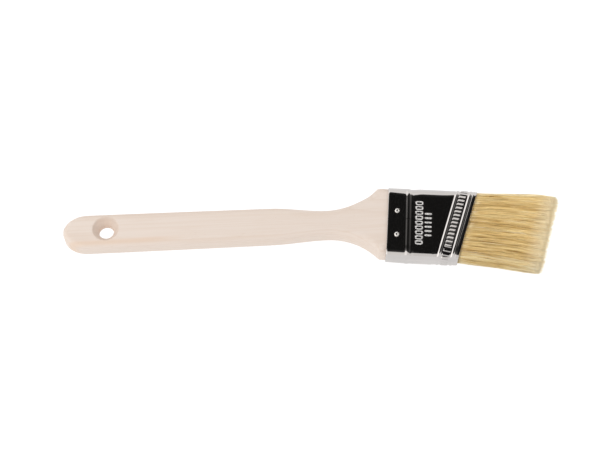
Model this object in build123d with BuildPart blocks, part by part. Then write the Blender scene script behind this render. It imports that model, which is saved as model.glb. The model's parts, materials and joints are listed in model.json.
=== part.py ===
from build123d import *
import os
from math import cos, radians, sin, tan

# Angled flat paint brush, in millimetres. The origin is the centre of the hanging hole at half the
# handle's thickness. +X runs along the handle to the bristles, +Z stands out of the front face.
# The head, which is everything in and beyond the ferrule, has an axis of its own that is canted
# from the handle's. Head distances run along that axis from the ferrule's rear edge.

# ---- Driving dimensions -------------------------------------------------------------------------
# Handle
BUTT_REACH = 21.1  # hanging hole to the very end of the handle
BUTT_CORNER_X = -9.25  # where the half-oval end meets the straight sides
BUTT_HALF_WIDTH = 9.15
BUTT_STEPS = 8  # points the half-oval is drawn through
BUTT_CENTRE_Y = -0.5  # the outline's middle, a little to one side of the hanging hole
SHAFT_END_X = 82.0  # where the sides start to draw in towards the neck
SHAFT_HALF_WIDTH = 8.53
SHAFT_CENTRE_Y = -0.2
TOP_NECK_X = 109.2  # the +Y side's narrowest place
TOP_NECK_Y = 5.95
TOP_FLARE_RADIUS = 35.9
TOP_FLARE_TURN = 47.8  # degrees of arc from the neck to the shoulder
BOTTOM_NECK_X = 109.6  # the -Y side's narrowest place
BOTTOM_NECK_Y = -7.15
BOTTOM_FLARE_RADIUS = 32.0
BOTTOM_FLARE_TURN = -49.55
CHEEK_TOP = 19.1  # half widths of the wood at the ferrule's rear edge
CHEEK_BOTTOM = 18.9
CHEEK_LENGTH = 14.0  # how far back the cheeks keep the ferrule's rounder edges
BUTT_HALF_THICKNESS = 5.2
SHAFT_HALF_THICKNESS = 5.6
NECK_HALF_THICKNESS = 5.5
CHEEK_HALF_THICKNESS = 6.4
EDGE_ROUNDING = 2.7
HOLE_RADIUS = 3.7
HOLE_RIM_RADIUS = 6.45  # at the butt's half thickness
THROAT_LENGTH = 3.0

# Head
CANT = 5.63  # degrees, the head's axis against the handle's
CANT_POINT_X = 124.3  # where the two axes cross
NECK_TO_FERRULE = 15.4  # from there to the ferrule's rear edge
FERRULE_WIDTH = 39.2
FERRULE_THICKNESS = 14.0
FERRULE_CORNER = 6.0
FERRULE_LENGTH = 39.7  # on the axis
SHEET = 0.45
SLANT = 14.2  # degrees, the ferrule's front edge against square
TONGUE_LENGTH = 8.8  # wood inside the ferrule
GAP = 0.02  # between pieces that are pressed or glued together

# Beads, ropework and stamped marks of the ferrule
REAR_BEAD_X = 9.9
REAR_BEAD_RADIUS = 1.1
REAR_BEAD_RELIEF = 0.3  # how far the bead stands off the sheet
ROPE_BEADS_X = (29.9, 36.5)
ROPE_BEAD_RADIUS = 0.8
ROPE_BEAD_RELIEF = 0.5
ROPE_X = 33.2
ROPE_PITCH = 2.1  # along the slanted band
ROPE_STRAND_LENGTH = 3.4
ROPE_STRAND_WIDTH = 1.9
ROPE_STRAND_RELIEF = 0.6
ROPE_LAY = 8.5  # degrees, each strand against the head's axis
MARK_ROW_X = 15.3
MARK_ROW_SHIFT = -1.95
MARK_COUNT = 9
MARK_PITCH = 2.7
MARK_LENGTH = 3.9
MARK_WIDTH = 2.4
MARK_STROKE = 0.65
MARK_RELIEF = 0.3
BAR_ROW_X = 19.8
BAR_ROW_SHIFT = -2.85
BAR_COUNT = 6
BAR_PITCH = 2.35
BAR_LENGTH = 3.4
BAR_WIDTH = 0.9

# Nails
NAIL_X = 4.45
NAIL_SPACING = 13.1
NAIL_ROW_SHIFT = -2.25
NAIL_HEAD_RADIUS = 1.3
NAIL_HEAD_HEIGHT = 0.6
NAIL_HEAD_ROUNDING = 0.42
NAIL_SHANK_RADIUS = 0.7
NAIL_LENGTH = 5.4

# Inside the ferrule
RESIN_START_X = 8.9
RESIN_DISC = 3.0
RESIN_SKIRT = 3.0
ROOT_INSET = 0.4  # between the bristle roots and the sheet, filled by the resin's skirt
PLUG_WIDTH = 27.0
PLUG_THICKNESS = 3.6
PLUG_CORNER = 1.2
PLUG_SETBACK = 5.4  # from the ferrule's front edge to the plug's nose

# Exposed bristles
FLEX_LEAD = 2.0  # the line the bristles flex about, ahead of the ferrule's front edge
FLEX_RADIUS = 6.1
SOCKET_CLEARANCE = 0.06
SOCKET_SETBACK = 3.4  # from the flex line to the front of the roots
NECK_HALF_SPAN = 16.7  # half width of the tuft inside the ferrule
FLARE_START_X = 38.0
TAPER_START = 0.45  # share of the free length that keeps its full thickness
TIP_X = 81.0
TIP_HALF_WIDTH = 21.4
TIP_SHIFT = -0.8
TIP_HALF_THICKNESS = 3.4
TIP_FALL = 0.2  # slope of the flanks at the tips
TUFT_CORNER = 5.5
TIP_CORNER = 2.3

# ---- Planes of the head -------------------------------------------------------------------------
axis_dir = Vector(cos(radians(CANT)), -sin(radians(CANT)), 0)
head = Plane(Vector(CANT_POINT_X, 0, 0) + axis_dir * NECK_TO_FERRULE, x_dir=axis_dir, z_dir=(0, 0, 1))


def head_point(x, y=0.0, z=0.0):
    """A point given on the head's own axes."""
    return head.from_local_coords(Vector(x, y, z))


def across(x, y=0.0, z=0.0):
    """The plane square to the head's axis at x: its x is the width and its y the thickness."""
    return Plane(head_point(x, y, z), x_dir=head.y_dir, z_dir=head.x_dir)


def slanted(x):
    """The plane that crosses the head's axis at x and leans as the ferrule's front edge does."""
    lean = radians(SLANT)
    along = head.x_dir * sin(lean) + head.y_dir * cos(lean)
    ahead = head.x_dir * cos(lean) - head.y_dir * sin(lean)
    return Plane(head_point(x), x_dir=along, z_dir=ahead)


def on_face(x, side):
    """The plane on the ferrule's front face (side 1) or back face (side -1) at x."""
    z = side * FERRULE_THICKNESS / 2
    return Plane(head_point(x, 0, z), x_dir=head.x_dir, z_dir=(0, 0, side))


inner_width = FERRULE_WIDTH - 2 * SHEET
inner_thickness = FERRULE_THICKNESS - 2 * SHEET
inner_corner = FERRULE_CORNER - SHEET
root_width = inner_width - 2 * ROOT_INSET
root_thickness = inner_thickness - 2 * ROOT_INSET
root_corner = inner_corner - ROOT_INSET
root_start = RESIN_START_X + RESIN_DISC
nail_rows = [NAIL_ROW_SHIFT + side * NAIL_SPACING / 2 for side in (-1, 1)]
flex_line = slanted(FERRULE_LENGTH).offset(FLEX_LEAD)
flex_profile = Plane(flex_line.origin, x_dir=flex_line.z_dir, z_dir=flex_line.x_dir)
through = 4 * FERRULE_WIDTH  # longer than any cut needs

# ---- Handle -------------------------------------------------------------------------------------
ferrule_rear = head_point(0)
with BuildPart() as handle:
    with BuildSketch():
        with BuildLine():
            for side in (1, -1):
                shaft_side = Line(
                    (BUTT_CORNER_X, BUTT_CENTRE_Y + side * BUTT_HALF_WIDTH),
                    (SHAFT_END_X, SHAFT_CENTRE_Y + side * SHAFT_HALF_WIDTH),
                )
                if side > 0:
                    flare = JernArc((TOP_NECK_X, TOP_NECK_Y), (1, 0), TOP_FLARE_RADIUS, TOP_FLARE_TURN)
                    cheek = CHEEK_TOP
                else:
                    flare = JernArc(
                        (BOTTOM_NECK_X, BOTTOM_NECK_Y), (1, 0), BOTTOM_FLARE_RADIUS, BOTTOM_FLARE_TURN
                    )
                    cheek = CHEEK_BOTTOM
                Spline(shaft_side @ 1, flare @ 0, tangents=(shaft_side % 1, (1, 0)))
                Polyline(flare @ 1, head_point(0, side * cheek), ferrule_rear)
            top_line = edges().filter_by(lambda edge: edge.center().Y > 0).sort_by(Axis.X)[0]
            bottom_line = edges().filter_by(lambda edge: edge.center().Y < 0).sort_by(Axis.X)[0]
            butt_length = BUTT_REACH + BUTT_CORNER_X
            Spline(
                *[
                    (BUTT_CORNER_X - butt_length * sin(turn), BUTT_CENTRE_Y + BUTT_HALF_WIDTH * cos(turn))
                    for turn in [radians(step * 180 / BUTT_STEPS) for step in range(BUTT_STEPS + 1)]
                ],
                tangents=(-(top_line % 0), bottom_line % 0),
            )
        make_face()
    extrude(amount=FERRULE_THICKNESS, both=True)
    with BuildSketch(Plane.XZ):
        with BuildLine():
            for side in (1, -1):
                upper = Spline(
                    (-BUTT_REACH, side * BUTT_HALF_THICKNESS),
                    (SHAFT_END_X / 2, side * SHAFT_HALF_THICKNESS),
                    (BOTTOM_NECK_X, side * NECK_HALF_THICKNESS),
                    (ferrule_rear.X, side * CHEEK_HALF_THICKNESS),
                )
                beyond = (ferrule_rear.X + FERRULE_CORNER, side * CHEEK_HALF_THICKNESS)
                Polyline(upper @ 1, beyond, (beyond[0], 0))
                Line(upper @ 0, (-BUTT_REACH, 0))
        make_face()
    extrude(amount=through, both=True, mode=Mode.INTERSECT)
    rim_faces = handle.faces().filter_by(lambda f: abs(f.normal_at().Z) < 0.01)
    rim_edges = ShapeList(edge for face in rim_faces for edge in face.edges())
    long_edges = rim_edges.filter_by(Axis.Z, reverse=True).filter_by(
        lambda edge: (edge.center() - ferrule_rear).dot(axis_dir) < -GAP
    )
    fillet(long_edges, EDGE_ROUNDING)

    # The cheeks take the ferrule's rounder edges
    with BuildSketch(across(0, (CHEEK_TOP - CHEEK_BOTTOM) / 2)):
        Rectangle(2 * FERRULE_WIDTH, 2 * FERRULE_THICKNESS)
        RectangleRounded(
            CHEEK_TOP + CHEEK_BOTTOM, 2 * CHEEK_HALF_THICKNESS, inner_corner - GAP, mode=Mode.SUBTRACT
        )
    extrude(amount=-CHEEK_LENGTH, mode=Mode.SUBTRACT)

    # Hanging hole, countersunk from both faces to a short throat
    with BuildSketch(Plane.XZ):
        with BuildLine():
            rim_z = BUTT_HALF_THICKNESS
            throat_z = THROAT_LENGTH / 2
            grow = (HOLE_RIM_RADIUS - HOLE_RADIUS) / (rim_z - throat_z)
            wide = HOLE_RIM_RADIUS + grow * rim_z
            Polyline(
                (0, 2 * rim_z),
                (wide, 2 * rim_z),
                (HOLE_RADIUS, throat_z),
                (HOLE_RADIUS, -throat_z),
                (wide, -2 * rim_z),
                (0, -2 * rim_z),
                close=True,
            )
        make_face()
    revolve(axis=Axis.Z, mode=Mode.SUBTRACT)

    # Tongue inside the ferrule, drilled for the nails
    with BuildSketch(across(0, (CHEEK_TOP - CHEEK_BOTTOM) / 2)):
        RectangleRounded(CHEEK_TOP + CHEEK_BOTTOM, 2 * CHEEK_HALF_THICKNESS, inner_corner - GAP)
    extrude(amount=TONGUE_LENGTH)
    for side in (1, -1):
        with BuildSketch(on_face(NAIL_X, side)):
            with Locations(*[(0, side * y) for y in nail_rows]):
                Circle(NAIL_SHANK_RADIUS + GAP)
        extrude(amount=-(NAIL_LENGTH + GAP), mode=Mode.SUBTRACT)

# ---- Ferrule ------------------------------------------------------------------------------------
with BuildPart() as ferrule:
    with BuildSketch(across(0)):
        RectangleRounded(FERRULE_WIDTH, FERRULE_THICKNESS, FERRULE_CORNER)
    extrude(amount=2 * FERRULE_LENGTH)
    split(bisect_by=slanted(FERRULE_LENGTH), keep=Keep.BOTTOM)

    # Beads run right round the tube as half-sunk wires
    beads = [(across(REAR_BEAD_X), REAR_BEAD_RADIUS, REAR_BEAD_RELIEF)]
    beads += [(slanted(x), ROPE_BEAD_RADIUS, ROPE_BEAD_RELIEF) for x in ROPE_BEADS_X]
    for plane, radius, relief in beads:
        sink = 2 * (radius - relief)
        with BuildPart(mode=Mode.PRIVATE) as core:
            with BuildSketch(across(0)):
                RectangleRounded(
                    FERRULE_WIDTH - sink, FERRULE_THICKNESS - sink, FERRULE_CORNER - sink / 2
                )
            extrude(amount=2 * FERRULE_LENGTH)
            split(bisect_by=plane, keep=Keep.BOTTOM)
        ring = core.faces().sort_by(lambda f: f.center().dot(plane.z_dir))[-1].outer_wire()
        start = ring @ 0
        with BuildSketch(Plane(start, z_dir=ring % 0)):
            Circle(radius)
        sweep(path=ring, transition=Transition.RIGHT)

    # Ropework between the two slanted beads: one strand after another round the tube
    with BuildPart(mode=Mode.PRIVATE) as strand:
        with BuildSketch():
            SlotOverall(ROPE_STRAND_LENGTH, ROPE_STRAND_WIDTH)
            split(bisect_by=Plane.XZ)
        revolve(axis=Axis.X)
    with BuildSketch(across(0), mode=Mode.PRIVATE) as section:
        RectangleRounded(FERRULE_WIDTH, FERRULE_THICKNESS, FERRULE_CORNER)
    outline = section.sketch.wire()
    strand_count = round(outline.length / ROPE_PITCH)
    strand_planes = []
    for i in range(strand_count):
        along = outline.tangent_at(i / strand_count)
        point = outline.position_at(i / strand_count)
        outward = along.cross(axis_dir)
        if outward.dot(point - ferrule_rear) < 0:
            outward = -outward
        width = (point - ferrule_rear).dot(head.y_dir)
        sideways = axis_dir.cross(outward).normalized()
        spot = point + axis_dir * (ROPE_X + width * tan(radians(SLANT)))
        spot -= outward * (ROPE_STRAND_WIDTH / 2 - ROPE_STRAND_RELIEF)
        direction = axis_dir * cos(radians(ROPE_LAY)) + sideways * sin(radians(ROPE_LAY))
        strand_planes.append(Plane(spot, x_dir=direction, z_dir=outward))
    with Locations(*strand_planes):
        add(strand.part)

    # Stamped marks in relief on the front face
    with BuildSketch(on_face(MARK_ROW_X, 1)):
        with Locations((0, MARK_ROW_SHIFT)):
            with GridLocations(0, MARK_PITCH, 1, MARK_COUNT):
                SlotOverall(MARK_LENGTH, MARK_WIDTH)
                SlotOverall(
                    MARK_LENGTH - 2 * MARK_STROKE, MARK_WIDTH - 2 * MARK_STROKE, mode=Mode.SUBTRACT
                )
    with BuildSketch(on_face(BAR_ROW_X, 1)):
        with Locations((0, BAR_ROW_SHIFT)):
            with GridLocations(0, BAR_PITCH, 1, BAR_COUNT):
                SlotOverall(BAR_LENGTH, BAR_WIDTH)
    extrude(amount=MARK_RELIEF, both=True)

    # Hollow the tube out and pierce it for the nails
    with BuildSketch(across(0)):
        RectangleRounded(inner_width, inner_thickness, inner_corner)
    extrude(amount=2 * FERRULE_LENGTH, mode=Mode.SUBTRACT)
    with BuildSketch(head):
        with Locations(*[(NAIL_X, y) for y in nail_rows]):
            Circle(NAIL_SHANK_RADIUS + GAP)
    extrude(amount=FERRULE_THICKNESS, both=True, mode=Mode.SUBTRACT)

# ---- Nails --------------------------------------------------------------------------------------
with BuildPart() as nails:
    for side in (1, -1):
        spots = [(0, side * y) for y in nail_rows]
        seat = on_face(NAIL_X, side).offset(GAP)
        with BuildSketch(seat):
            with Locations(*spots):
                Circle(NAIL_HEAD_RADIUS)
        extrude(amount=NAIL_HEAD_HEIGHT)
        head_rims = nails.faces().filter_by(
            lambda f: f.center().Z * side > FERRULE_THICKNESS / 2 + NAIL_HEAD_HEIGHT
        )
        fillet(head_rims.edges(), NAIL_HEAD_ROUNDING)
        with BuildSketch(seat):
            with Locations(*spots):
                Circle(NAIL_SHANK_RADIUS)
        extrude(amount=-NAIL_LENGTH)

# ---- Set resin, a shallow cup that the bristle roots stand in -----------------------------------
with BuildPart() as resin:
    with BuildSketch(across(RESIN_START_X)):
        RectangleRounded(inner_width - 2 * GAP, inner_thickness - 2 * GAP, inner_corner - GAP)
    extrude(amount=RESIN_DISC + RESIN_SKIRT)
    with BuildSketch(across(root_start)):
        RectangleRounded(root_width + 2 * GAP, root_thickness + 2 * GAP, root_corner + GAP)
    extrude(amount=RESIN_SKIRT, mode=Mode.SUBTRACT)

# ---- Wooden plug that keeps the middle of the bristle bundle open -------------------------------
with BuildPart() as plug:
    with BuildSketch(across(root_start + GAP)):
        RectangleRounded(PLUG_WIDTH, PLUG_THICKNESS, PLUG_CORNER)
    extrude(amount=FERRULE_LENGTH)
    split(bisect_by=slanted(FERRULE_LENGTH).offset(-PLUG_SETBACK), keep=Keep.BOTTOM)


def root_pack(side):
    """The glued end of the bristles on one side of the plug (1 front, -1 back)."""
    with BuildPart() as pack:
        with BuildSketch(across(root_start + GAP)):
            RectangleRounded(root_width, root_thickness, root_corner)
            Rectangle(root_width, GAP, mode=Mode.SUBTRACT)
            RectangleRounded(
                PLUG_WIDTH + 2 * GAP, PLUG_THICKNESS + 2 * GAP, PLUG_CORNER + GAP, mode=Mode.SUBTRACT
            )
        extrude(amount=FERRULE_LENGTH)
        split(bisect_by=Plane.XY, keep=Keep.TOP if side > 0 else Keep.BOTTOM)
        with BuildSketch(flex_profile):
            Circle(FLEX_RADIUS + SOCKET_CLEARANCE)
            with Locations((FERRULE_THICKNESS - SOCKET_SETBACK, 0)):
                Rectangle(2 * FERRULE_THICKNESS, 2 * FERRULE_THICKNESS)
        extrude(amount=through, both=True, mode=Mode.SUBTRACT)
    return pack


bristles_front = root_pack(1)
bristles_back = root_pack(-1)

# ---- Exposed bristles ---------------------------------------------------------------------------
tuft_reach = (TIP_X - FERRULE_LENGTH) * cos(radians(SLANT)) - FLEX_LEAD  # from the flex line


def tuft_corner(side):
    """Where the tips' slanted row meets the side of the tuft (1 long side, -1 short side)."""
    spread = TIP_SHIFT + side * (TIP_HALF_WIDTH - NECK_HALF_SPAN)
    spread /= TIP_X + TIP_HALF_WIDTH - FLARE_START_X
    lean = tan(radians(SLANT))
    x = TIP_X + lean * (side * NECK_HALF_SPAN - spread * FLARE_START_X)
    x /= 1 - lean * spread
    return x, (x - TIP_X) / lean


with BuildPart() as tuft:
    # Straight inside the ferrule, then flaring to one side
    with BuildSketch(across(RESIN_START_X)):
        RectangleRounded(2 * NECK_HALF_SPAN, FERRULE_THICKNESS, TUFT_CORNER)
    extrude(amount=FLARE_START_X - RESIN_START_X)
    with BuildSketch(across(FLARE_START_X)):
        RectangleRounded(2 * NECK_HALF_SPAN, FERRULE_THICKNESS, TUFT_CORNER)
    with BuildSketch(across(TIP_X + TIP_HALF_WIDTH, TIP_SHIFT)):
        RectangleRounded(2 * TIP_HALF_WIDTH, FERRULE_THICKNESS, TUFT_CORNER)
    loft()

    # Side view: a half-round heel on the flex line, then the taper to the rounded tip
    with BuildSketch(flex_profile):
        with BuildLine():
            ThreePointArc((0, FLEX_RADIUS), (-FLEX_RADIUS, 0), (0, -FLEX_RADIUS))
            RadiusArc(
                (tuft_reach - TIP_HALF_THICKNESS, TIP_HALF_THICKNESS),
                (tuft_reach - TIP_HALF_THICKNESS, -TIP_HALF_THICKNESS),
                TIP_HALF_THICKNESS,
            )
            for side in (1, -1):
                Spline(
                    (0, side * FLEX_RADIUS),
                    (TAPER_START * tuft_reach, side * FLEX_RADIUS),
                    (tuft_reach - TIP_HALF_THICKNESS, side * TIP_HALF_THICKNESS),
                    tangents=((1, 0), (1, -side * TIP_FALL)),
                )
        make_face()
    extrude(amount=through, both=True, mode=Mode.INTERSECT)

    # Plan view: the slanted row of tips, rounded off at both corners
    with BuildSketch(head):
        with BuildLine():
            Polyline(
                tuft_corner(1),
                (FLARE_START_X, NECK_HALF_SPAN),
                (RESIN_START_X, NECK_HALF_SPAN),
                (RESIN_START_X, -NECK_HALF_SPAN),
                (FLARE_START_X, -NECK_HALF_SPAN),
                tuft_corner(-1),
                close=True,
            )
        make_face()
        fillet(vertices().sort_by(SortBy.DISTANCE)[-2:], TIP_CORNER)
    extrude(amount=FERRULE_THICKNESS, both=True, mode=Mode.INTERSECT)

os.makedirs("parts", exist_ok=True)
handle.part.label = "handle"
export_step(handle.part, "parts/handle.step")
ferrule.part.label = "ferrule"
export_step(ferrule.part, "parts/ferrule.step")
nails.part.label = "nails"
export_step(nails.part, "parts/nails.step")
resin.part.label = "resin"
export_step(resin.part, "parts/resin.step")
plug.part.label = "plug"
export_step(plug.part, "parts/plug.step")
bristles_front.part.label = "bristles_front"
export_step(bristles_front.part, "parts/bristles_front.step")
bristles_back.part.label = "bristles_back"
export_step(bristles_back.part, "parts/bristles_back.step")
tuft.part.label = "tuft"
export_step(tuft.part, "parts/tuft.step")
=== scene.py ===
import json
from math import cos, pi, radians, sin, tan

import bmesh
import bpy
import numpy as np
from mathutils import Matrix, Vector


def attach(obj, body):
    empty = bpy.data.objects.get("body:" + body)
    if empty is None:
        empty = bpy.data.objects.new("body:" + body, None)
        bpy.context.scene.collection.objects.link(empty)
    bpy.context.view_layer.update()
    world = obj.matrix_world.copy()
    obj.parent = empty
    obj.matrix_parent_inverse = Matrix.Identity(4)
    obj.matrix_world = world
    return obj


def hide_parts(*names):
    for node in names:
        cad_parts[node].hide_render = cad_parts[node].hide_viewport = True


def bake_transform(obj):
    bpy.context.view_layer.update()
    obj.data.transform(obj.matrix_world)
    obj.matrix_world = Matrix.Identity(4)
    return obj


# Angled paint brush. Lengths in this script are in millimetres until a mesh is made, where MM
# turns them into metres. The row's axes: X along the handle, Y across, Z out of the front face.
# The head has its own axes: u along the ferrule from its rear edge, v across, z as the row's.
# Far and near mean the +Y and -Y sides, the latter being the one towards the camera.

MM = 0.001
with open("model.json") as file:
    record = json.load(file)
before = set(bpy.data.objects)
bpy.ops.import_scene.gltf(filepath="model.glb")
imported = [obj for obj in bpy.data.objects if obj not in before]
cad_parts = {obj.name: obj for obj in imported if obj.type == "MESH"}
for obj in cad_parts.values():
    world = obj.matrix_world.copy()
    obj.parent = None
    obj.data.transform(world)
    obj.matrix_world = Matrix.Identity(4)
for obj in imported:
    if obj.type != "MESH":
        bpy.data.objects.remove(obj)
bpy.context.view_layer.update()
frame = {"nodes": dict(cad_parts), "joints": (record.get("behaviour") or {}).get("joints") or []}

# ---- The head's axes, from the flex joint -------------------------------------------------------
CANT = radians(5.63)
SLANT = radians(14.2)
FLEX_LEAD = 2.0
FERRULE_LENGTH = 39.7
flex_point = np.array(frame["joints"][0]["pos_m"]) / MM
AXIS_U = np.array([cos(CANT), -sin(CANT), 0.0])
AXIS_V = np.array([sin(CANT), cos(CANT), 0.0])
AXIS_Z = np.array([0.0, 0.0, 1.0])
AHEAD = AXIS_U * cos(SLANT) - AXIS_V * sin(SLANT)
REAR = flex_point - AHEAD * FLEX_LEAD - AXIS_U * FERRULE_LENGTH


def head_to_row(u, v, z):
    """Points on the head's axes as an (n, 3) array in the row's frame."""
    u, v, z = np.broadcast_arrays(u, v, z)
    return REAR + u[..., None] * AXIS_U + v[..., None] * AXIS_V + z[..., None] * AXIS_Z


def smooth(low, high, x):
    """0 at low to 1 at high with eased ends; low may be the larger."""
    t = np.clip((np.asarray(x, float) - low) / (high - low), 0, 1)
    return t * t * (3 - 2 * t)


def make_object(name, points, faces, material):
    """A mesh object from points in millimetres."""
    mesh = bpy.data.meshes.new(name)
    mesh.from_pydata((np.asarray(points) * MM).tolist(), [], faces)
    mesh.validate()
    working = bmesh.new()
    working.from_mesh(mesh)
    bmesh.ops.recalc_face_normals(working, faces=working.faces)
    working.to_mesh(mesh)
    working.free()
    mesh.polygons.foreach_set("use_smooth", [True] * len(mesh.polygons))
    mesh.update()
    piece = bpy.data.objects.new(name, mesh)
    bpy.context.scene.collection.objects.link(piece)
    piece.data.materials.append(material)
    return piece


def grid_faces(rows, columns, close_rows=False, close_columns=False):
    """Quads of a grid of points stored row by row."""
    faces = []
    for i in range(rows if close_rows else rows - 1):
        a = i * columns
        b = ((i + 1) % rows) * columns
        for j in range(columns if close_columns else columns - 1):
            k = (j + 1) % columns
            faces.append((a + j, a + k, b + k, b + j))
    return faces


def set_layer(piece, label, values):
    """Store one number per point, for the piece's material to read."""
    layer = piece.data.attributes.new(label, "FLOAT", "POINT")
    layer.data.foreach_set("value", np.asarray(values, np.float32))


# ---- Materials ----------------------------------------------------------------------------------
def srgb(r, g, b):
    """An 8-bit display colour as linear RGBA."""
    return tuple(((c / 255 + 0.055) / 1.055) ** 2.4 if c > 10 else c / 3294 for c in (r, g, b)) + (1.0,)


class Nodes:
    """Short calls for building a material's node tree."""

    def __init__(self, name):
        self.material = bpy.data.materials.new(name)
        self.material.use_nodes = True
        self.tree = self.material.node_tree
        self.surface = self.tree.nodes["Principled BSDF"]

    def add(self, kind, inputs=None, **settings):
        node = self.tree.nodes.new(kind)
        for key, value in settings.items():
            setattr(node, key, value)
        for key, value in (inputs or {}).items():
            self.put(node.inputs[key], value)
        return node

    def put(self, socket, value):
        if isinstance(value, bpy.types.NodeSocket):
            self.tree.links.new(value, socket)
        elif isinstance(value, bpy.types.Node):
            self.tree.links.new(value.outputs[0], socket)
        else:
            socket.default_value = value

    def set(self, **inputs):
        for key, value in inputs.items():
            self.put(self.surface.inputs[key.replace("_", " ")], value)

    def math(self, operation, a, b=0.0, clamp=False):
        node = self.add("ShaderNodeMath", operation=operation, use_clamp=clamp)
        self.put(node.inputs[0], a)
        self.put(node.inputs[1], b)
        return node.outputs[0]

    def ramp(self, value, stops):
        node = self.add("ShaderNodeValToRGB", {"Fac": value})
        while len(node.color_ramp.elements) < len(stops):
            node.color_ramp.elements.new(0.5)
        for element, (position, color) in zip(node.color_ramp.elements, stops):
            element.position = position
            element.color = color
        return node.outputs["Color"]

    def fade(self, value, low, high):
        """0 at low to 1 at high with eased ends; low may be the larger."""
        node = self.add("ShaderNodeMapRange", interpolation_type="SMOOTHSTEP")
        self.put(node.inputs["Value"], value)
        node.inputs["From Min"].default_value = low
        node.inputs["From Max"].default_value = high
        return node.outputs["Result"]

    def mix(self, factor, a, b, blend="MIX"):
        node = self.add("ShaderNodeMix", data_type="RGBA", blend_type=blend)
        self.put(node.inputs["Factor"], factor)
        self.put(node.inputs[6], a)
        self.put(node.inputs[7], b)
        return node.outputs[2]

    def scaled(self, x, y, z):
        """The object's own coordinates multiplied per axis, so 1000 makes a unit of 1 mm."""
        place = self.add("ShaderNodeTexCoord").outputs["Object"]
        node = self.add("ShaderNodeMapping", {"Vector": place})
        node.inputs["Scale"].default_value = (x, y, z)
        return node.outputs[0]

    def noise(self, vector, scale=1.0, detail=3.0, roughness=0.5, distortion=0.0):
        node = self.add(
            "ShaderNodeTexNoise",
            {"Vector": vector, "Scale": scale, "Detail": detail, "Roughness": roughness},
        )
        node.inputs["Distortion"].default_value = distortion
        return node.outputs[0]

    def bump(self, height, strength, distance):
        node = self.add("ShaderNodeBump", {"Height": height})
        node.inputs["Strength"].default_value = strength
        node.inputs["Distance"].default_value = distance
        self.put(self.surface.inputs["Normal"], node)
        return node


# The pith runs along X this far below mid thickness
PITH_DEPTH = 31.0
RINGS_PER_MM = 0.55
# The warm streak's distance from the hanging hole's centre, towards -Y
STREAK_OFFSET = 6.5


def wood_material(name, light, warm, dark):
    """Bare close-grained wood, its grain along X."""
    n = Nodes(name)
    tone = n.noise(n.scaled(22, 160, 160), detail=4, roughness=0.6)
    streaks = n.noise(n.scaled(14, 900, 900), detail=5, roughness=0.65, distortion=0.3)
    color = n.mix(n.math("MULTIPLY", n.fade(streaks, 0.42, 0.68), 0.5), light, warm)
    color = n.mix(n.math("MULTIPLY", n.fade(tone, 0.48, 0.75), 0.5), color, warm)

    # Growth rings about a pith far below the face, cut open where the neck is shaped
    place = n.add("ShaderNodeSeparateXYZ", {"Vector": n.scaled(1000, 1000, 1000)})
    sway = n.noise(n.scaled(9, 60, 60), detail=2)
    y = n.math("ADD", place.outputs[1], n.math("MULTIPLY", sway, 9.0))
    z = n.math("ADD", place.outputs[2], PITH_DEPTH)
    far = n.math("SQRT", n.math("ADD", n.math("MULTIPLY", y, y), n.math("MULTIPLY", z, z)))
    ring = n.math("FRACT", n.math("MULTIPLY", far, RINGS_PER_MM))
    line = n.math("MULTIPLY", n.fade(ring, 0.55, 0.93), n.fade(ring, 1.0, 0.94))
    color = n.mix(n.math("MULTIPLY", line, 0.2), color, dark)

    # Short dark flecks, the pores and rays
    flecks = n.noise(n.scaled(420, 5200, 5200), detail=1, roughness=0.4)
    patches = n.noise(n.scaled(40, 260, 260), detail=2)
    fleck = n.math("MULTIPLY", n.fade(flecks, 0.66, 0.76), n.fade(patches, 0.4, 0.65))
    color = n.mix(n.math("MULTIPLY", fleck, 0.5), color, dark)

    # A warm streak runs past the hanging hole, near the -Y edge
    x, y = place.outputs[0], place.outputs[1]
    aside = n.math("ADD", y, n.math("MULTIPLY", x, -0.02))
    aside = n.math("ADD", aside, n.math("MULTIPLY", sway, 1.6))
    aside = n.math("ABSOLUTE", n.math("ADD", aside, STREAK_OFFSET))
    streak = n.math("MULTIPLY", n.fade(aside, 2.0, 0.2), n.fade(x, 42.0, 18.0))
    color = n.mix(n.math("MULTIPLY", streak, 0.7), color, srgb(228, 204, 184))

    # Painted shade darkens the hole's flare
    from_hole = n.math("SQRT", n.math("ADD", n.math("MULTIPLY", x, x), n.math("MULTIPLY", y, y)))
    hole_shade = n.math("MULTIPLY", n.fade(from_hole, 6.9, 6.3), 0.4)
    color = n.mix(hole_shade, color, srgb(219, 199, 183))

    n.set(Base_Color=color, Specular_IOR_Level=0.22)
    n.set(Roughness=n.math("ADD", n.math("MULTIPLY", streaks, 0.18), 0.5))
    relief = n.math("ADD", n.math("MULTIPLY", streaks, 0.6), n.math("MULTIPLY", flecks, -0.4))
    n.bump(relief, 0.22, 0.00012)
    return n.material


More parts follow.
